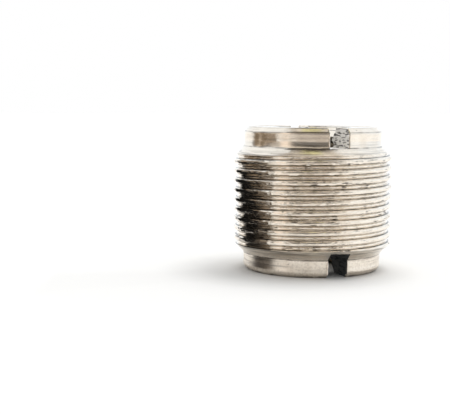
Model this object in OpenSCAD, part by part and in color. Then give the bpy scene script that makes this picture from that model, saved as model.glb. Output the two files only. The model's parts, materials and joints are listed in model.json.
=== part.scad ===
// Thread adapter: one turned metal piece that screws into a large tapped hole
// by its outer thread, and takes a small screw in its bore. A screwdriver slot
// crosses each end face. It stands on its end: the origin is the centre of the
// lower face, and the axis runs along +Z. Sizes are in millimetres.

/* [Body] */
// Length from end face to end face
length = 14.1; // [12:0.1:18]
// Height of the plain collar at the upper end
collar_up = 1.85; // [1:0.05:3]
// Height of the plain collar at the lower end
collar_down = 1.7; // [1:0.05:3]
// Bevel around the rim of each end face
rim_bevel = 0.4; // [0.1:0.05:0.8]

/* [Outer thread] */
// Diameter over the crests of the outer thread
thread_d = 15.6; // [13:0.1:19]
// Step from crest down to collar, along a 45 degree shoulder
shoulder = 1; // [0.4:0.05:1.4]

/* [Bore] */
// Diameter between the crests of the thread in the bore
bore_d = 5.3; // [4:0.1:7]
// Width and depth of the 45 degree countersink at each mouth
countersink = 1.1; // [0.2:0.05:1.6]

/* [Slots] */
// Width of the screwdriver slots
slot_w = 2; // [1:0.1:3]
// Depth of the slot in the upper face
slot_up = 1.9; // [0.8:0.05:3]
// Depth of the slot in the lower face
slot_down = 2.4; // [0.8:0.05:3]

/* [Hidden] */
$fn = 128;
thread_r = thread_d / 2;
collar_r = thread_r - shoulder;
bore_r = bore_d / 2;
mouth_r = bore_r + countersink;
// How far a slot's cutter reaches past the metal on every open side
overrun = 1;

// Half of the turned section, from the lower mouth up the outside and back
// down the bore.
module half_section() {
    polygon([
        [mouth_r, 0],
        [collar_r - rim_bevel, 0],
        [collar_r, rim_bevel],
        [collar_r, collar_down],
        [thread_r, collar_down + shoulder],
        [thread_r, length - collar_up - shoulder],
        [collar_r, length - collar_up],
        [collar_r, length - rim_bevel],
        [collar_r - rim_bevel, length],
        [mouth_r, length],
        [bore_r, length - countersink],
        [bore_r, countersink]
    ]);
}

// Cutter for a slot that runs right across a face, along Y.
module slot_cutter(depth) {
    translate([-slot_w / 2, -thread_r - overrun, -depth])
        cube([slot_w, 2 * (thread_r + overrun), depth + overrun]);
}

// The whole adapter: the turned blank, less its two slots.
module adapter() {
    color([0.83, 0.77, 0.7])
        difference() {
            rotate_extrude() half_section();
            translate([0, 0, length]) slot_cutter(slot_up);
            mirror([0, 0, 1]) slot_cutter(slot_down);
        }
}

adapter();
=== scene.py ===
import json
import math

import bmesh
import bpy
from mathutils import Matrix, Vector, noise


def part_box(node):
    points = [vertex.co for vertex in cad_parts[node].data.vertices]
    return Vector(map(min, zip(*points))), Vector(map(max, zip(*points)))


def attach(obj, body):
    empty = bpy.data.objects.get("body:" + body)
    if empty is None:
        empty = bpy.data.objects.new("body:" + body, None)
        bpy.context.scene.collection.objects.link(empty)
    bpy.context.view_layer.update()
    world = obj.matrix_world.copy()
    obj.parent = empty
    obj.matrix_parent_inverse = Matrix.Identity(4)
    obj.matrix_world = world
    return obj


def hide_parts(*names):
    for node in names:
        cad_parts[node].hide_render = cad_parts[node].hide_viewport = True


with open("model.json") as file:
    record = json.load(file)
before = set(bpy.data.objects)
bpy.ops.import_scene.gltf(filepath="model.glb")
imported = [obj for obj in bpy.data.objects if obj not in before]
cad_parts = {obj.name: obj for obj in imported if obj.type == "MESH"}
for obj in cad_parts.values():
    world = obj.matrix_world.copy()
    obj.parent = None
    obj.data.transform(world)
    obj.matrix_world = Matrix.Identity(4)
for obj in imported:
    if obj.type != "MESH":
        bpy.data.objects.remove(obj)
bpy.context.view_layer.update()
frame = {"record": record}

# ---------------------------------------------------------------------------
# The turned blank
# A short bush of free-cutting metal, turned between two parting cuts: a plain
# collar at each end, 45 degree shoulders, bevelled rims, and a drilled and
# countersunk bore. Bright nickel plate covers it, and turning lines show in it.
# ---------------------------------------------------------------------------
MM = 0.001
ROUND_STEPS = 300          # flats around one full turn
low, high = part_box("adapter")
mounts = {mount["name"]: mount for mount in frame["record"]["mounts"]}


def mount_span(name):
    """Lowest and highest point of a round mount's wall, along Z."""
    half = mounts[name]["dims"]["length_mm"] * MM / 2
    middle = mounts[name]["pos_m"][2]
    return middle - half, middle + half


height = high.z
crest_r = high.x
thread_low, thread_high = mount_span("outer_thread")
bore_low, bore_high = mount_span("bore_thread")
bore_r = mounts["bore_thread"]["dims"]["r_mm"] * MM
shoulder = 1.0 * MM
rim_bevel = 0.4 * MM
stock = 0.15 * MM          # metal left over the crests for the thread to be cut from
weld = 1e-7                # corners nearer than this are one
soft = 0.16 * MM           # easing of the rims, from tumbling and plating
sharp = 0.08 * MM          # easing of the bore's corners
fillet = 0.28 * MM         # curve in the corner under the upper collar
burr = 0.045 * MM          # sharp edge that the facing cut raises round the upper face
collar_r = crest_r - shoulder
mouth_r = bore_r + bore_low


def add(tree, kind, inputs=None, **settings):
    """A new node with its settings. Each input is a value, or another node's output to link."""
    node = tree.nodes.new(kind)
    for name, value in settings.items():
        setattr(node, name, value)
    for socket, value in (inputs or {}).items():
        if isinstance(value, bpy.types.NodeSocket):
            tree.links.new(value, node.inputs[socket])
        else:
            node.inputs[socket].default_value = value
    return node


def worked(tree, operation, *values):
    """The result of a Math node."""
    return add(tree, "ShaderNodeMath", dict(enumerate(values)), operation=operation).outputs[0]


def mapped(tree, value, from_low, from_high, to_low=0.0, to_high=1.0):
    """The result of a Map Range node, which stops at its ends."""
    ends = {0: value, 1: from_low, 2: from_high, 3: to_low, 4: to_high}
    return add(tree, "ShaderNodeMapRange", ends).outputs[0]


def blended(tree, factor, first, second):
    """The colour between two colours."""
    return add(tree, "ShaderNodeMix", {0: factor, 6: first, 7: second}, data_type="RGBA").outputs[2]


def scaled(tree, position, x, y, z):
    """A position multiplied by a factor along each axis."""
    return add(tree, "ShaderNodeVectorMath", {0: position, 1: (x, y, z)}, operation="MULTIPLY").outputs[0]


def axis_distance(tree, position):
    """How far a position lies from the Z axis."""
    flat = scaled(tree, position, 1, 1, 0)
    return add(tree, "ShaderNodeVectorMath", {0: flat}, operation="LENGTH").outputs["Value"]


def clouded(tree, position, scale, detail, roughness=0.5):
    """The value of a Noise Texture node."""
    return add(tree, "ShaderNodeTexNoise", {
        "Vector": position, "Scale": scale, "Detail": detail, "Roughness": roughness}).outputs[0]


def new_group(name, inputs, outputs):
    """A new node group, with the sockets of its input node and of its output node."""
    group = bpy.data.node_groups.new(name, "ShaderNodeTree")
    for socket, kind in inputs.items():
        group.interface.new_socket(socket, in_out="INPUT", socket_type="NodeSocket" + kind)
    for socket, kind in outputs.items():
        group.interface.new_socket(socket, in_out="OUTPUT", socket_type="NodeSocket" + kind)
    return group, group.nodes.new("NodeGroupInput").outputs, group.nodes.new("NodeGroupOutput").inputs


def make_turning_lines():
    """Rings on a face and lines round a wall: noise drawn out along the cut."""
    group, given, result = new_group(
        "turning_lines",
        {"Position": "Vector", "Fineness": "Float", "Breaks": "Float"},
        {"Height": "Float"})
    place = add(group, "ShaderNodeSeparateXYZ", {0: given["Position"]}).outputs
    radius = axis_distance(group, given["Position"])
    from_middle = worked(group, "ABSOLUTE", worked(group, "SUBTRACT", place[2], height / 2))
    travel = worked(group, "SUBTRACT", radius, from_middle)
    drawn_out = add(group, "ShaderNodeCombineXYZ", {
        0: worked(group, "MULTIPLY", place[0], given["Breaks"]),
        1: worked(group, "MULTIPLY", place[1], given["Breaks"]),
        2: worked(group, "MULTIPLY", travel, given["Fineness"])}).outputs[0]
    group.links.new(clouded(group, drawn_out, 1, 3, 0.65), result["Height"])
    return group


def make_plate_tone():
    """Bright plate that goes over to a duller tone in soft patches."""
    group, given, result = new_group(
        "plate_tone",
        {"Position": "Vector", "Bright": "Color", "Dull": "Color", "Patches": "Float"},
        {"Color": "Color", "Mask": "Float"})
    mask = mapped(group, clouded(group, given["Position"], given["Patches"], 4, 0.6), 0.35, 0.72)
    group.links.new(blended(group, mask, given["Bright"], given["Dull"]), result["Color"])
    group.links.new(mask, result["Mask"])
    return group


def make_pits():
    """Small round pits and specks, scattered thinly."""
    group, given, result = new_group(
        "pits",
        {"Position": "Vector", "Spacing": "Float", "Size": "Float"},
        {"Mask": "Float"})
    cells = add(group, "ShaderNodeTexVoronoi", {
        "Vector": given["Position"], "Scale": given["Spacing"], "Randomness": 1}).outputs["Distance"]
    mask = mapped(group, cells, 0.0, given["Size"], 1.0, 0.0)
    group.links.new(mask, result["Mask"])
    return group


turning_lines = make_turning_lines()
plate_tone = make_plate_tone()
pits = make_pits()


def placed(tree, group, inputs):
    """The outputs of a node group placed in a material."""
    return add(tree, "ShaderNodeGroup", inputs, node_tree=group).outputs


def turning_height(tree, position, fineness, breaks):
    """The height of turning lines: closer with more fineness, and shorter with more breaks."""
    return placed(tree, turning_lines, {
        "Position": position, "Fineness": fineness, "Breaks": breaks})["Height"]


def new_metal(name):
    """A metal material, with its node tree, its shader and the position to draw its patterns on."""
    material = bpy.data.materials.new(name)
    material.use_nodes = True
    tree = material.node_tree
    shader = tree.nodes["Principled BSDF"]
    shader.inputs["Metallic"].default_value = 1
    position = add(tree, "ShaderNodeTexCoord").outputs["Object"]
    return material, tree, shader, position


def ring(tree, value, at, half):
    """1 where a value is close to one place, falling to 0 at half a line's width away."""
    away = worked(tree, "ABSOLUTE", worked(tree, "SUBTRACT", value, at))
    return mapped(tree, away, half * 0.4, half, 1.0, 0.0)


def meeting_lines_and_shade(tree, position, radius, z):
    """A mask of thin dark lines where turned faces meet, worn in places, and painted shade at foot and
    inner corners.
    """
    lines = worked(tree, "MULTIPLY", ring(tree, radius, collar_r - rim_bevel, 0.07 * MM), 0.15)
    lines = worked(tree, "MAXIMUM", lines, ring(tree, radius, mouth_r, 0.14 * MM))
    levels = [          # height and half width of each line
        # painted contact shade, wide, along the foot where the part stands
        (0.08 * MM, 0.2 * MM),
        # painted shade in the inner corners under and over the thread's shoulders
        (thread_low - shoulder, 0.09 * MM),
        (thread_high + shoulder, 0.08 * MM),
        # the joint where the collar meets the upper bevel
        (height - rim_bevel, 0.055 * MM),
    ]
    for at, half in levels:
        lines = worked(tree, "MAXIMUM", lines, ring(tree, z, at, half))
    wear = mapped(tree, clouded(tree, position, 800, 3), 0.4, 0.58, 0.3, 0.8)
    return worked(tree, "MULTIPLY", lines, wear)


def shoulder_streaks(tree, position, radius):
    """A mask of dark streaks high on the shoulders, where the thread's grooves run out."""
    run_out = mapped(tree, radius, collar_r + 0.3 * MM, crest_r - 0.3 * MM, 0.0, 0.85)
    streaks = mapped(tree, turning_height(tree, position, 3800, 260), 0.49, 0.59)
    return worked(tree, "MULTIPLY", run_out, streaks)


def turned_plate():
    """Nickel over a turned surface: bright and warm, with fine lines, and rougher on the lower collar."""
    material, tree, shader, position = new_metal("turned_plate")
    z = add(tree, "ShaderNodeSeparateXYZ", {0: position}).outputs[2]
    radius = axis_distance(tree, position)
    foot = mapped(tree, z, 1.4 * MM, 2.2 * MM, 1.0, 0.0)       # 1 on the lower collar
    tone = placed(tree, plate_tone, {
        "Position": position, "Bright": (0.84, 0.77, 0.675, 1),
        "Dull": (0.77, 0.69, 0.59, 1), "Patches": 700})
    speck = placed(tree, pits, {"Position": position, "Spacing": 900, "Size": 0.09})["Mask"]
    lines = meeting_lines_and_shade(tree, position, radius, z)
    lines = worked(tree, "MAXIMUM", lines, shoulder_streaks(tree, position, radius))
    fine = turning_height(tree, position, 9000, 250)
    broad = turning_height(tree, position, 2600, 120)
    peel = clouded(tree, position, 4500, 2)
    grooves = worked(tree, "MULTIPLY", mapped(tree, broad, 0.5, 0.64), mapped(tree, foot, 0, 1, 0.25, 0.6))
    scuffs = worked(tree, "MULTIPLY", mapped(tree, peel, 0.47, 0.6), mapped(tree, foot, 0, 1, 0.04, 0.24))
    color = blended(tree, worked(tree, "MULTIPLY", speck, 0.7), tone["Color"], (0.16, 0.13, 0.1, 1))
    # dark joint lines and shoulder streaks, with painted shade at the foot and in the inner corners
    color = blended(tree, lines, color, (0.15, 0.13, 0.11, 1))
    color = blended(tree, grooves, color, (0.3, 0.26, 0.22, 1))
    color = blended(tree, scuffs, color, (0.36, 0.3, 0.25, 1))
    relief = worked(tree, "ADD", fine, worked(tree, "MULTIPLY", broad, 2.2))
    relief = worked(tree, "MULTIPLY", relief, mapped(tree, foot, 0, 1, 1.0, 2.5))
    relief = worked(tree, "SUBTRACT", relief, speck)
    relief = worked(tree, "ADD", relief, worked(tree, "MULTIPLY", peel, 0.8))
    bump = add(tree, "ShaderNodeBump", {"Height": relief, "Strength": 1, "Distance": 0.005 * MM})
    rough = mapped(tree, tone["Mask"], 0, 1, 0.13, 0.24)
    rough = worked(tree, "ADD", rough, worked(tree, "MULTIPLY", foot, 0.16))
    tree.links.new(color, shader.inputs["Base Color"])
    tree.links.new(rough, shader.inputs["Roughness"])
    tree.links.new(bump.outputs[0], shader.inputs["Normal"])
    return material


def finished(name, bm, material):
    """Makes an object of a closed bmesh, with its faces turned outwards."""
    bmesh.ops.recalc_face_normals(bm, faces=bm.faces)
    if bm.calc_volume(signed=True) < 0:
        bmesh.ops.reverse_faces(bm, faces=bm.faces)
    mesh = bpy.data.meshes.new(name)
    bm.to_mesh(mesh)
    bm.free()
    mesh.materials.append(material)
    made = bpy.data.objects.new(name, mesh)
    bpy.context.scene.collection.objects.link(made)
    return made


def spun(name, outline, material):
    """A mesh swept round Z from an outline of (radius, height) points."""
    bm = bmesh.new()
    points = [bm.verts.new((radius, 0, z)) for radius, z in outline]
    edges = [bm.edges.new(pair) for pair in zip(points, points[1:])]
    bmesh.ops.spin(bm, geom=points + edges, cent=(0, 0, 0), axis=(0, 0, 1),
                   angle=math.tau, steps=ROUND_STEPS, use_merge=True)
    bmesh.ops.remove_doubles(bm, verts=bm.verts, dist=weld)
    return finished(name, bm, material)


def eased(outline, steps=2):
    """An outline of (radius, height, easing) points, with each inner corner swapped for a small curve."""
    points = [Vector(point[:2]) for point in outline]
    made = [points[0]]
    for k in range(1, len(points) - 1):
        before, corner, after = points[k - 1:k + 2]
        back = min(outline[k][2], (before - corner).length * 0.45)
        on = min(outline[k][2], (after - corner).length * 0.45)
        start = corner + (before - corner).normalized() * back
        end = corner + (after - corner).normalized() * on
        for step in range(steps + 1):
            t = step / steps
            made.append(start * (1 - t) ** 2 + corner * 2 * t * (1 - t) + end * t ** 2)
    return [tuple(point) for point in made + [points[-1]]]


section = [
    (bore_r, height / 2, 0),
    (bore_r, bore_low, sharp),
    (mouth_r, 0, sharp),
    (collar_r - rim_bevel, 0, soft),
    (collar_r, rim_bevel, soft),
    (collar_r, thread_low - shoulder, sharp),
    (crest_r + stock, thread_low + stock, sharp),
    (crest_r + stock, thread_high - stock, sharp),
    (collar_r, thread_high + shoulder, fillet),
    (collar_r, height - rim_bevel, soft),
    (collar_r - rim_bevel + 0.3 * burr, height - 0.3 * burr, burr),      # the burr starts here
    (collar_r - rim_bevel - 0.2 * burr, height + burr, burr),
    (collar_r - rim_bevel - 1.6 * burr, height, burr),
    (mouth_r, height, sharp),
    (bore_r, bore_high, sharp),
    (bore_r, height / 2, 0),
]
feed = 0.21 * MM           # how far the turning tool moves in one turn
ridge = 0.024 * MM         # mean depth of the grooves that it leaves


def turned(outline):
    """The outline with a shallow groove for each turn of the tool along its longer runs."""
    points = [Vector(point) for point in outline]
    made = [points[0]]
    for start, end in zip(points, points[1:]):
        run = end - start
        side = Vector((run.y, -run.x)).normalized()
        turns = round(run.length / feed)
        if turns > 2 and max(start.x, end.x) > bore_r:
            for k in range(1, turns):
                place = start + run * k / turns
                uneven = noise.noise(Vector((*place, 0)) / MM * 7.3)
                made.append(place - side * ridge * (1 + 2 * uneven))
        made.append(end)
    return [tuple(point) for point in made]


plate = turned_plate()
adapter = spun("adapter_body", turned(eased(section, steps=3)), plate)

# ---------------------------------------------------------------------------
# The outer thread
# A right-hand 60 degree thread, 27 to the inch, with flattened crests. It runs
# out in the shoulder at each end, so the first turns are partial. The die has
# torn the crests a little, and handling has left a few nicks in them.
# ---------------------------------------------------------------------------
INCH = 25.4 * MM
FLANK_SLOPE = math.tan(math.radians(30))     # half of the 60 degree form


def make_torn_and_shaded_flanks():
    """A mask of flank torn by the tool, with painted shade in the thread's hollow: a band about one radius,
    darkest facing up.
    """
    group, given, result = new_group(
        "torn_flanks",
        {"Position": "Vector", "Normal": "Vector",
         "Radius": "Float", "Full": "Float", "Faded": "Float", "Dark": "Float"},
        {"Mask": "Float"})
    radius = axis_distance(group, given["Position"])
    away = worked(group, "ABSOLUTE", worked(group, "SUBTRACT", radius, given["Radius"]))
    band = mapped(group, away, given["Full"], given["Faded"], given["Dark"], 0.0)
    facing = add(group, "ShaderNodeSeparateXYZ", {0: given["Normal"]}).outputs[2]
    # painted shade: the band is darkest on flanks that face up
    band = worked(group, "MULTIPLY", band, mapped(group, facing, -0.5, 0.5, 0.25, 1.0))
    torn = clouded(group, scaled(group, given["Position"], 1, 1, 3), 900, 3, 0.6)
    band = worked(group, "MULTIPLY", band, mapped(group, torn, 0.35, 0.65, 0.55, 1.45))
    group.links.new(band, result["Mask"])
    return group


def make_cut_streaks():
    """Streaks along a cut thread, and dark dashes where the metal was torn out."""
    group, given, result = new_group(
        "cut_streaks", {"Position": "Vector"}, {"Height": "Float", "Dashes": "Float"})
    dashes = mapped(group, turning_height(group, given["Position"], 7000, 560), 0.6, 0.66)
    fine = turning_height(group, given["Position"], 12000, 700)
    broad = turning_height(group, given["Position"], 4200, 420)
    streaks = worked(group, "ADD", fine, worked(group, "MULTIPLY", broad, 2.4))
    group.links.new(worked(group, "SUBTRACT", streaks, dashes), result["Height"])
    group.links.new(dashes, result["Dashes"])
    return group


torn_flanks = make_torn_and_shaded_flanks()
cut_streaks = make_cut_streaks()


def thread_metal(name, flank_r, full, faded, dark):
    """Nickel over a cut thread: streaks along the cut, and a dark band of flank, partly torn by the tool
    and partly painted shade.
    """
    material, tree, shader, position = new_metal(name)
    tone = placed(tree, plate_tone, {
        "Position": scaled(tree, position, 1, 1, 6), "Bright": (0.85, 0.785, 0.70, 1),
        "Dull": (0.72, 0.645, 0.55, 1), "Patches": 900})
    normal = add(tree, "ShaderNodeTexCoord").outputs["Normal"]
    dull_and_shade = placed(tree, torn_flanks, {
        "Position": position, "Normal": normal, "Radius": flank_r, "Full": full, "Faded": faded,
        "Dark": dark})["Mask"]
    streaks = placed(tree, cut_streaks, {"Position": position})
    dashes = worked(tree, "MULTIPLY", streaks["Dashes"], 0.92)
    # the dark band: painted shade in the thread's hollows, over metal torn by the tool
    color = blended(tree, dull_and_shade, tone["Color"], (0.085, 0.082, 0.072, 1))
    color = blended(tree, dashes, color, (0.10, 0.08, 0.06, 1))
    bump = add(tree, "ShaderNodeBump", {"Height": streaks["Height"], "Strength": 1, "Distance": 0.018 * MM})
    tree.links.new(color, shader.inputs["Base Color"])
    tree.links.new(mapped(tree, tone["Mask"], 0, 1, 0.1, 0.2), shader.inputs["Roughness"])
    tree.links.new(bump.outputs[0], shader.inputs["Normal"])
    return material


def tear_crests(bm, inner_r, outer_r, tear):
    """Roughens a thread, from nothing at its inner radius to about the distance tear at its outer one."""
    for vertex in bm.verts:
        place = vertex.co / MM
        elsewhere = place + Vector((50, 0, 0))
        radius = place.xy.length * MM
        out = (radius - inner_r) / (outer_r - inner_r)
        sway = 0.7 * noise.noise(place * 1.1) + 0.9 * noise.noise(place * 3.1)
        lift = 0.7 * noise.noise(elsewhere * 1.3) + 0.7 * noise.noise(elsewhere * 3.3)
        vertex.co.xy *= 1 + tear * out * (sway - 0.4) / radius
        vertex.co.z += 0.5 * tear * out * lift


def close_ends(bm, low_tip, high_tip):
    """Closes both ends of a threaded tube with a cone, each to a tip on the axis."""
    rims = [edge for edge in bm.edges if edge.is_boundary]
    middle = (low_tip + high_tip) / 2
    lower = [edge for edge in rims if edge.verts[0].co.z < middle]
    upper = [edge for edge in rims if edge.verts[0].co.z >= middle]
    for rim, tip in ((lower, low_tip), (upper, high_tip)):
        grown = bmesh.ops.extrude_edge_only(bm, edges=rim)["geom"]
        corners = [part for part in grown if isinstance(part, bmesh.types.BMVert)]
        bmesh.ops.pointmerge(bm, verts=corners, merge_co=(0, 0, tip))


def thread_form(pitch, inner_r, outer_r, crest_flat, under_ease, over_ease, root_ease):
    """The outline of one turn of thread, from root to root, as (radius, height) points."""
    flank = (outer_r - inner_r) * FLANK_SLOPE
    crest_edge = (pitch - crest_flat) / 2
    return eased([
        (inner_r, 0, 0),
        (inner_r, crest_edge - flank, root_ease),
        (outer_r, crest_edge, under_ease),
        (outer_r, pitch - crest_edge, over_ease),
        (inner_r, pitch - crest_edge + flank, root_ease),
        (inner_r, pitch, 0),
    ])


def threaded_rod(name, form, pitch, start, turns, tear, around, material):
    """A closed rod with a right-hand thread. A crest passes +X at the start and at each pitch above it."""
    bm = bmesh.new()
    points = [bm.verts.new((radius, 0, start - pitch / 2 + z)) for radius, z in form]
    edges = [bm.edges.new(pair) for pair in zip(points, points[1:])]
    bmesh.ops.spin(bm, geom=points + edges, cent=(0, 0, 0), axis=(0, 0, 1),
                   dvec=(0, 0, pitch / around), angle=math.tau, steps=around)
    first_turn = bm.verts[:] + bm.edges[:] + bm.faces[:]
    for k in range(1, turns):
        copy = bmesh.ops.duplicate(bm, geom=first_turn)["geom"]
        copied = [part for part in copy if isinstance(part, bmesh.types.BMVert)]
        bmesh.ops.translate(bm, vec=(0, 0, k * pitch), verts=copied)
    bmesh.ops.remove_doubles(bm, verts=bm.verts, dist=10 * weld)
    tear_crests(bm, form[0][0], max(radius for radius, z in form), tear)
    close_ends(bm, start - pitch, start + (turns + 1) * pitch)
    return finished(name, bm, material)


def cut(operation, tool):
    """Cuts a tool's solid from the adapter, joins it on or keeps what both share, and deletes the tool."""
    step = adapter.modifiers.new(operation, "BOOLEAN")
    step.operation = operation
    step.solver = "MANIFOLD"
    step.material_mode = "TRANSFER"
    step.object = tool
    bpy.context.view_layer.update()
    shaped = adapter.evaluated_get(bpy.context.evaluated_depsgraph_get())
    mesh = bpy.data.meshes.new_from_object(shaped)
    adapter.modifiers.clear()
    adapter.data = mesh
    bpy.data.objects.remove(tool)


outer_pitch = INCH / 27
outer_depth = 0.42 * MM
outer_crest_at = 1.81 * MM       # height of a crest's middle where it passes +X
outer_metal = thread_metal("cut_thread", crest_r - 0.23 * MM, full=0.032 * MM, faded=0.092 * MM, dark=1.0)
outer_form = thread_form(
    outer_pitch, inner_r=crest_r - outer_depth, outer_r=crest_r, crest_flat=0.32 * MM,
    under_ease=0.15 * MM, over_ease=0.1 * MM, root_ease=0.06 * MM)
cut("INTERSECT", threaded_rod(
    "outer_form", outer_form, outer_pitch, start=outer_crest_at - 3 * outer_pitch, turns=19,
    tear=0.03 * MM, around=ROUND_STEPS, material=outer_metal))

nicks = [       # angle round the thread in degrees, then height and size in mm
    (-73.6, 11.34, 0.13), (-68.8, 10.67, 0.10), (-74.2, 9.77, 0.12),
    (-127.9, 11.51, 0.12), (-132.2, 11.49, 0.10), (-84.0, 9.70, 0.10),
    (-100.0, 7.81, 0.11), (-93.0, 8.76, 0.10), (-61.0, 5.94, 0.10),
    (-108.0, 5.95, 0.12), (-20.0, 8.60, 0.13), (15.0, 6.70, 0.11),
    (60.0, 9.50, 0.14), (96.0, 4.80, 0.12), (140.0, 7.60, 0.13),
]
bm = bmesh.new()
for degrees, z, size in nicks:
    angle = math.radians(degrees)
    at = Vector((crest_r * math.cos(angle), crest_r * math.sin(angle), z * MM))
    bmesh.ops.create_icosphere(bm, subdivisions=2, radius=size * MM, matrix=Matrix.Translation(at))
cut("DIFFERENCE", finished("nicks", bm, outer_metal))

# ---------------------------------------------------------------------------
# The tapped bore
# A right-hand thread, 20 to the inch, tapped right through the drilled hole.
# It starts in the countersink at each mouth. Painted shade darkens its flanks and roots, so only its crests
# stay bright.
# ---------------------------------------------------------------------------
bore_pitch = INCH / 20
bore_deep_r = INCH / 8
# painted shade over the bore thread's flanks and roots
bore_metal = thread_metal("tapped_thread", bore_r + 0.35 * MM, full=0.22 * MM, faded=0.34 * MM, dark=0.9)
bore_form = thread_form(
    bore_pitch, inner_r=bore_r - 0.2 * MM, outer_r=bore_deep_r, crest_flat=0.16 * MM,
    under_ease=0.06 * MM, over_ease=0.06 * MM, root_ease=0.05 * MM)
cut("DIFFERENCE", threaded_rod(
    "bore_form", bore_form, bore_pitch, start=-3 * bore_pitch, turns=17,
    tear=0.01 * MM, around=ROUND_STEPS // 2, material=bore_metal))

# ---------------------------------------------------------------------------
# The screwdriver slots
# One slot is sawn straight across each end face with a coarse cutter, along Y.
# It leaves rough walls, and a rolled lip of metal stands up along every edge.
# ---------------------------------------------------------------------------
slot_w = 2.0 * MM
slot_up = 1.9 * MM         # depth of the slot in the upper face
slot_down = 2.4 * MM       # depth of the slot in the lower face
overrun = 1.0 * MM         # how far the cutter reaches past the metal
lip_r = 0.08 * MM
lip_step = 0.12 * MM       # spacing of the points along a lip
lip_wander = 0.025 * MM    # how far a lip strays from the edge
sunk = lip_r * 0.4         # how deep a lip's middle lies in the metal
saw_step = 0.125 * MM      # spacing of the points that carry the saw's marks
saw_bite = 0.045 * MM      # depth of the marks that its teeth score along the walls
noise.seed_set(1)          # so that the lips stray in the same way each time


def make_sawn_grain():
    """The torn grain of a sawn slot, drawn out along Y: blotches, fainter on its floor, and roughness."""
    group, given, result = new_group(
        "sawn_grain", {"Position": "Vector", "Normal": "Vector"}, {"Blotches": "Float", "Height": "Float"})
    drawn = scaled(group, given["Position"], 1, 0.18, 1)
    blotches = mapped(group, clouded(group, drawn, 6000, 2), 0.4, 0.495)
    upright_part = add(group, "ShaderNodeSeparateXYZ", {0: given["Normal"]}).outputs[2]
    on_floor = mapped(group, worked(group, "ABSOLUTE", upright_part), 0.4, 0.7, 0.0, 0.72)
    group.links.new(worked(group, "MAXIMUM", on_floor, blotches), result["Blotches"])
    group.links.new(clouded(group, drawn, 3000, 4, 0.65), result["Height"])
    return group


sawn_grain = make_sawn_grain()


def sawn_plate(name, bright, dull):
    """Thin plate over a rough sawn wall: dull, blotched and torn."""
    material, tree, shader, position = new_metal(name)
    shader.inputs["Metallic"].default_value = 0.2
    normal = add(tree, "ShaderNodeTexCoord").outputs["Normal"]
    grain = placed(tree, sawn_grain, {"Position": position, "Normal": normal})
    bump = add(tree, "ShaderNodeBump", {"Height": grain["Height"], "Strength": 1, "Distance": 0.05 * MM})
    color = blended(tree, grain["Blotches"], (*dull, 1), (*bright, 1))
    tree.links.new(color, shader.inputs["Base Color"])
    tree.links.new(mapped(tree, grain["Blotches"], 0, 1, 0.5, 0.38), shader.inputs["Roughness"])
    tree.links.new(bump.outputs[0], shader.inputs["Normal"])
    return material


def slot_cutter(name, bottom, face, sawn):
    """A bar as wide as the slot, from its bottom out past the face, with the saw's marks on its sides."""
    toward = math.copysign(1, face - bottom)
    tall = abs(face + toward * overrun - bottom)
    half = slot_w / 2
    across = round(slot_w / saw_step)
    up = round(tall / saw_step)
    outline = [(-half + slot_w * k / across, 0) for k in range(across)]
    outline += [(half, tall * k / up) for k in range(up)]
    outline += [(half, tall), (-half, tall)]
    outline += [(-half, tall - tall * k / up) for k in range(1, up)]
    reach = crest_r + overrun
    along = round(2 * reach / saw_step)
    bm = bmesh.new()
    points = [bm.verts.new((x, -reach, z)) for x, z in outline]
    edges = [bm.edges.new(pair) for pair in zip(points, points[1:] + points[:1])]
    bm.faces.new(points)
    swept = bmesh.ops.spin(bm, geom=points + edges, cent=(0, 0, 0), axis=(0, 0, 1),
                           dvec=(0, 2 * reach / along, 0), angle=0, steps=along)["geom_last"]
    bm.faces.new([part for part in swept if isinstance(part, bmesh.types.BMVert)])
    for vertex in bm.verts:
        x, y, z = vertex.co
        mark = noise.noise(Vector((x, y * 0.45, z * 4)) / MM + Vector((9, 0, 0)))
        grain = noise.noise(vertex.co / MM * 3.1)
        bite = saw_bite * (1.2 * mark + 0.6 * grain)
        if 0 < z < tall:
            vertex.co.x += math.copysign(bite, x)
        elif z == 0:
            vertex.co.z += bite
        vertex.co.z = bottom + toward * vertex.co.z
    return finished(name, bm, sawn)


def lip(bm, side, end, outline):
    """Adds the lip along one slot edge, on the blank's outline over the rim and down the collar."""
    x = side * (slot_w / 2 + lip_r / 2)
    corners = [Vector((x, end * math.sqrt(radius ** 2 - x ** 2), z)) for radius, z in outline]
    curve = bpy.data.curves.new("lip", "CURVE")
    curve.dimensions = "3D"
    curve.bevel_depth = lip_r
    curve.bevel_resolution = 2
    curve.use_fill_caps = True
    places = []
    for first, last in zip(corners, corners[1:]):
        steps = max(2, round((last - first).length / lip_step))
        places += [first.lerp(last, k / steps) for k in range(steps)]
    spline = curve.splines.new("POLY")
    spline.points.add(len(places))
    for point, place in zip(spline.points, places + corners[-1:]):
        wander = noise.noise_vector(place / MM * 2.3) * lip_wander
        point.co = (*(place + wander), 1)
        point.radius = 1 + 0.45 * noise.noise(place / MM * 2.9)
    bead = bpy.data.objects.new("lip", curve)
    bpy.context.scene.collection.objects.link(bead)
    bpy.context.view_layer.update()
    mesh = bpy.data.meshes.new_from_object(bead.evaluated_get(bpy.context.evaluated_depsgraph_get()))
    bm.from_mesh(mesh)
    bpy.data.objects.remove(bead)


def lips(name, outline):
    """The four lips of one slot, as one solid with loose parts."""
    bm = bmesh.new()
    for side in (-1, 1):
        for end in (-1, 1):
            lip(bm, side, end, outline)
    bmesh.ops.remove_doubles(bm, verts=bm.verts, dist=weld)
    return finished(name, bm, plate)


sawn_bright = sawn_plate("sawn_plate", bright=(1.0, 0.97, 0.92), dull=(0.04, 0.034, 0.029))
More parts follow.
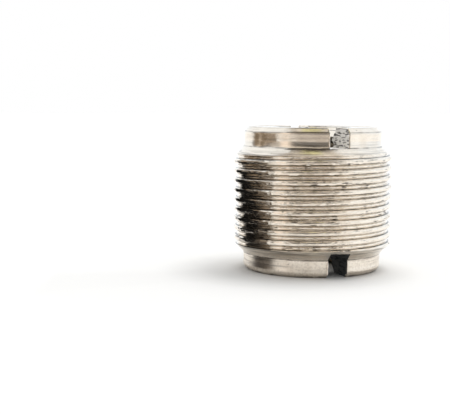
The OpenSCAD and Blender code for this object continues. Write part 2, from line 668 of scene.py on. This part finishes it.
# The lower slot gets a near-black copy of the sawn plate: painted shade for a hollow in the part's own
# shadow.
sawn_shaded = sawn_plate("stained_plate", bright=(0.085, 0.09, 0.09), dull=(0.02, 0.024, 0.024))
cut("DIFFERENCE", slot_cutter("upper_slot", height - slot_up, height, sawn_bright))
cut("DIFFERENCE", slot_cutter("lower_slot", slot_down, 0, sawn_shaded))
cut("UNION", lips("upper_lips", [
    (mouth_r, height - sunk),
    (collar_r - rim_bevel - sunk / 2, height - sunk),
    (collar_r - sunk, height - rim_bevel - sunk / 2),
    (collar_r - sunk, height - slot_up),
]))
cut("UNION", lips("lower_lips", [
    (collar_r - rim_bevel - sunk / 2, 2 * lip_r),
    (collar_r - sunk, rim_bevel + sunk / 2),
    (collar_r - sunk, thread_low - shoulder),
]))

# The last clean-up: no doubled corners, smooth turned faces, and sharp edges where faces meet.
bm = bmesh.new()
bm.from_mesh(adapter.data)
bmesh.ops.remove_doubles(bm, verts=bm.verts, dist=weld)
bmesh.ops.dissolve_degenerate(bm, edges=bm.edges, dist=weld)
bm.to_mesh(adapter.data)
bm.free()
for polygon in adapter.data.polygons:
    polygon.use_smooth = True
adapter.data.set_sharp_from_angle(angle=math.radians(28))
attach(adapter, "root")
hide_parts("adapter")

# ---------------------------------------------------------------------------
# Floor, light and camera
# White paper under a white dome, with a soft lamp on the right. Cards that show
# only in reflections stand to the left, in front and above, so that the bright
# plate has something dark to mirror.
# ---------------------------------------------------------------------------
TURN = math.radians(22)          # the camera stands this far round from the slots' line
toward_camera = Matrix.Rotation(-TURN, 3, "Z")     # turns -Y to the camera's side

bm = bmesh.new()
bmesh.ops.create_grid(bm, x_segments=1, y_segments=1, size=1.5)
paper = bpy.data.materials.new("paper")
paper.use_nodes = True
tree = paper.node_tree
sheet = tree.nodes["Principled BSDF"]
sheet.inputs["Base Color"].default_value = (0.88, 0.88, 0.87, 1)
sheet.inputs["Roughness"].default_value = 0.9
sheet.inputs["Emission Color"].default_value = (1, 1, 1, 1)
ray = add(tree, "ShaderNodeLightPath").outputs
seen = worked(tree, "MAXIMUM", ray["Is Camera Ray"], ray["Is Glossy Ray"])
seen = worked(tree, "MAXIMUM", seen, ray["Is Transmission Ray"])
spot = add(tree, "ShaderNodeTexCoord").outputs["Object"]
# Painted glow is held back round the shadow's middle, left of the part and in front, and so shapes the
# shadow. Away from it the paper goes over to pure white.
shade_middle = toward_camera @ Vector((-2, -1, 0)) * MM
from_shade = add(tree, "ShaderNodeVectorMath", {0: spot, 1: shade_middle}, operation="DISTANCE")
from_shade = from_shade.outputs["Value"]
whitened = worked(tree, "MULTIPLY", seen, mapped(tree, from_shade, 7.8 * MM, 13 * MM, 0.0, 0.14))
# The plate mirrors it a little brighter than it looks.
mirrored = mapped(tree, axis_distance(tree, spot), 8.5 * MM, 11.5 * MM, 0.0, 0.17)
mirrored = worked(tree, "MULTIPLY", ray["Is Glossy Ray"], mirrored)
tree.links.new(worked(tree, "ADD", whitened, mirrored), sheet.inputs["Emission Strength"])
floor = finished("floor", bm, paper)

world = bpy.data.worlds.new("studio")
bpy.context.scene.world = world
world.use_nodes = True
tree = world.node_tree
dome = tree.nodes["Background"]
ray = add(tree, "ShaderNodeLightPath").outputs
light = blended(tree, ray["Is Camera Ray"], (0.62, 0.62, 0.62, 1), (1, 1, 1, 1))
light = blended(tree, ray["Is Glossy Ray"], light, (1.12, 1.17, 1.22, 1))
tree.links.new(light, dome.inputs["Color"])
dome.inputs["Strength"].default_value = 1


def card(name, color, *corners, mottle=None, grain=420):
    """A glowing card that only shows in reflections. Its corners are in mm, with -Y towards the camera."""
    bm = bmesh.new()
    bm.faces.new([bm.verts.new(toward_camera @ Vector(corner) * MM) for corner in corners])
    board = bpy.data.materials.new(name)
    board.use_nodes = True
    tree = board.node_tree
    tree.nodes.clear()
    glow = add(tree, "ShaderNodeEmission", {"Color": (*color, 1)})
    if mottle:
        spot = add(tree, "ShaderNodeTexCoord").outputs["Object"]
        cloud = mapped(tree, clouded(tree, spot, grain, 3), 0.47, 0.62)
        tree.links.new(blended(tree, cloud, (*color, 1), (*mottle, 1)), glow.inputs["Color"])
    add(tree, "ShaderNodeOutputMaterial", {"Surface": glow.outputs[0]})
    made = finished(name, bm, board)
    made.visible_camera = False
    made.visible_diffuse = False
    made.visible_shadow = False
    made.visible_transmission = False
    made.visible_volume_scatter = False


def upright(name, color, start, end, low, high):
    """A card that stands on edge between two points of the floor."""
    card(name, color, (*start, low), (*end, low), (*end, high), (*start, high))


def level(name, color, z, *corners, **mottling):
    """A card that lies level."""
    card(name, color, *((*corner, z) for corner in corners), **mottling)


def near(name, color, *outline, **mottling):
    """A card on edge close by on the left. Its outline is (distance along it, height)."""
    start = Vector((-8.4, -1.05))
    along = Vector((-0.866, -0.5))
    card(name, color, *((*(start + along * run), z) for run, z in outline), **mottling)


near("near_flag", (0.01, 0.01, 0.01),
     (0.5, 4.4), (1.2, 2.2), (1.9, 0.02), (13.6, 0.02),
     (13.6, 10.6), (0.1, 10.6), (-0.4, 8.8), (-0.4, 7))
near("near_flag_top", (0.24, 0.185, 0.13),
     (0.2, 10.6), (13.6, 10.6), (13.6, 15.6), (4, 15.4), (1.8, 13.4), mottle=(0.78, 0.68, 0.57))
upright("near_side", (0.18, 0.15, 0.12), (-20.2, -7.9), (-24, -17), 0, 10.6)
upright("near_side_top", (0.40, 0.33, 0.26), (-20.2, -7.9), (-24, -17), 10.6, 15.6)
level("near_shade", (0.06, 0.052, 0.045), 0.15, (-5.5, -6.2), (-8.2, -2.2), (-24.6, -6.3), (-24, -17))
upright("front_low", (0.255, 0.25, 0.245), (-160, -258), (160, -258), 0, 40)
upright("front_middle", (0.2, 0.19, 0.18), (-160, -258), (160, -258), 40, 90)
upright("front_high", (0.05, 0.045, 0.04), (-160, -258), (160, -258), 90, 150)
upright("front_b", (0.38, 0.35, 0.32), (-203, -262), (203, -262), 0, 150)
upright("front_cl", (1.14, 1.01, 0.90), (-371, -264), (-203, -264), 0, 180)
upright("front_cr", (0.95, 0.90, 0.84), (203, -264), (371, -264), 0, 180)
upright("left_a", (0.60, 0.56, 0.52), (-300, -210), (-300, -80), 0, 170)
upright("left_b", (0.25, 0.24, 0.24), (-301, -80), (-301, 26), 0, 150)
upright("left_c", (0.35, 0.34, 0.34), (-301, 26), (-301, 173), 0, 150)
upright("right_a", (1.14, 1.19, 1.24), (300, -210), (300, 50), 0, 360)
upright("right_b", (1.12, 1.20, 1.29), (300, 50), (300, 520), 0, 360)
upright("front_band", (1.10, 1.02, 0.90), (-450, -265), (450, -265), 150, 262)
card("upper_a", (0.08, 0.07, 0.06), (-220, -262, 262), (220, -262, 262), (200, -80, 340), (-200, -80, 340))
level("top_front", (1.1, 1.06, 0.62), 338,
      (-62, -90), (48, -90), (48, -12), (-62, -12), mottle=(0.2, 0.18, 0.08), grain=75)
level("top_a", (0.86, 0.82, 0.74), 340,
      (-50, -12), (50, -12), (50, 60), (-50, 60), mottle=(0.3, 0.28, 0.25), grain=60)
level("top_b", (1.08, 1.02, 0.94), 342,
      (-130, -80), (130, -80), (130, 130), (-130, 130), mottle=(0.3, 0.27, 0.23), grain=60)
# Grey sheets just over the paper in front: painted shade of the paper, seen only in reflections.
level("floor_a", (0.73, 0.67, 0.61), 0.5, (-12, -25), (12, -25), (117, -255), (-117, -255))
level("floor_b", (0.92, 0.87, 0.82), 0.4, (-32, -22), (32, -22), (290, -250), (-290, -250))

lamp_data = bpy.data.lights.new("soft_lamp", "SUN")
lamp_data.angle = math.radians(50)
lamp_data.energy = 1.3
lamp = bpy.data.objects.new("soft_lamp", lamp_data)
bpy.context.scene.collection.objects.link(lamp)
lamp_at = toward_camera @ Vector((60, 120, 400)) * MM
lamp.matrix_world = Matrix.Translation(lamp_at) @ lamp_at.to_track_quat("Z", "Y").to_matrix().to_4x4()
lamp.visible_glossy = False

camera_data = bpy.data.cameras.new("camera")
camera = bpy.data.objects.new("camera", camera_data)
bpy.context.scene.collection.objects.link(camera)
bpy.context.scene.camera = camera
camera_data.sensor_width = 36
camera_data.lens = 81.92
camera_data.clip_start = 5 * MM
heading = math.radians(4.864) - TURN
pitch = math.radians(5.767)
roll = math.radians(0.375)
away = Vector((-math.sin(heading) * math.cos(pitch), math.cos(heading) * math.cos(pitch), -math.sin(pitch)))
camera.matrix_world = (
    Matrix.Translation(toward_camera @ Vector((0, -102.33, 16.35)) * MM)
    @ away.to_track_quat("-Z", "Y").to_matrix().to_4x4()
    @ Matrix.Rotation(roll, 4, "Z"))

bpy.context.scene.view_settings.view_transform = "Standard"
